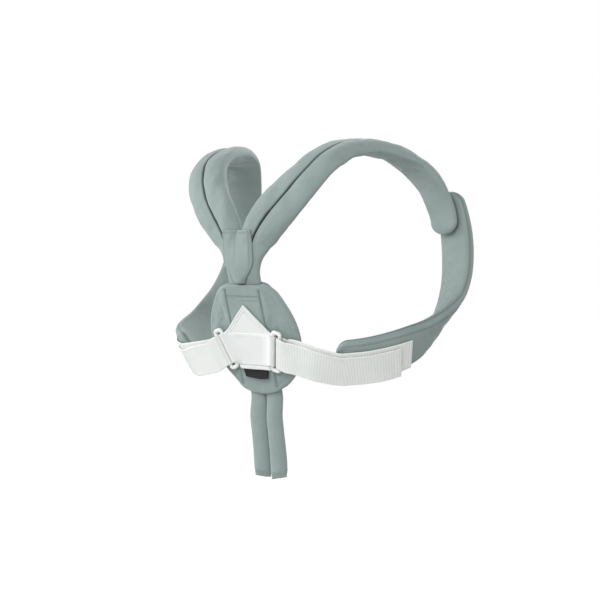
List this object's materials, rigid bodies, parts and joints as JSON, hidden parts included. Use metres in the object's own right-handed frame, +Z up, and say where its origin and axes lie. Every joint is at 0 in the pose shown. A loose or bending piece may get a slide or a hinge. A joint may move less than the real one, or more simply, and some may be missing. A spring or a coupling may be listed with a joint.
{
  "type": "clavicle strap",
  "caption": "Padded figure-of-eight shoulder brace in its worn form: slit padded straps through a round back pad, white webbing through rings, pads under the arms",
  "frame": {"origin": "Midway between the two straps where they lie on top of the shoulders, in the middle plane", "axes": "+Z up, +Y the way the chest faces, so the back pad lies on the -Y side, and +X to the right-hand side of whoever has it on"},
  "size_m": [0.404, 0.2189, 0.4013],
  "materials": {
    "green_fabric": "matt brushed knit over foam, grey green",
    "white_fabric": "matt close weave, white",
    "white_webbing": "cross-ribbed webbing, white",
    "white_plastic": "moulded, satin, white",
    "black_fabric": "woven satin tape, black, bare"
  },
  "bodies": {
    "root": {"back_pad": "green_fabric", "shoulder_strap_left": "green_fabric", "shoulder_strap_right": "green_fabric", "cross_patch": "green_fabric", "underarm_pad_left": "green_fabric", "underarm_pad_right": "green_fabric", "ring_tab": "white_fabric", "ring_left": "white_plastic", "ring_right": "white_plastic", "web_strap_left": "white_webbing", "web_strap_right": "white_webbing", "label_tab": "black_fabric"}
  },
  "joints": []
}
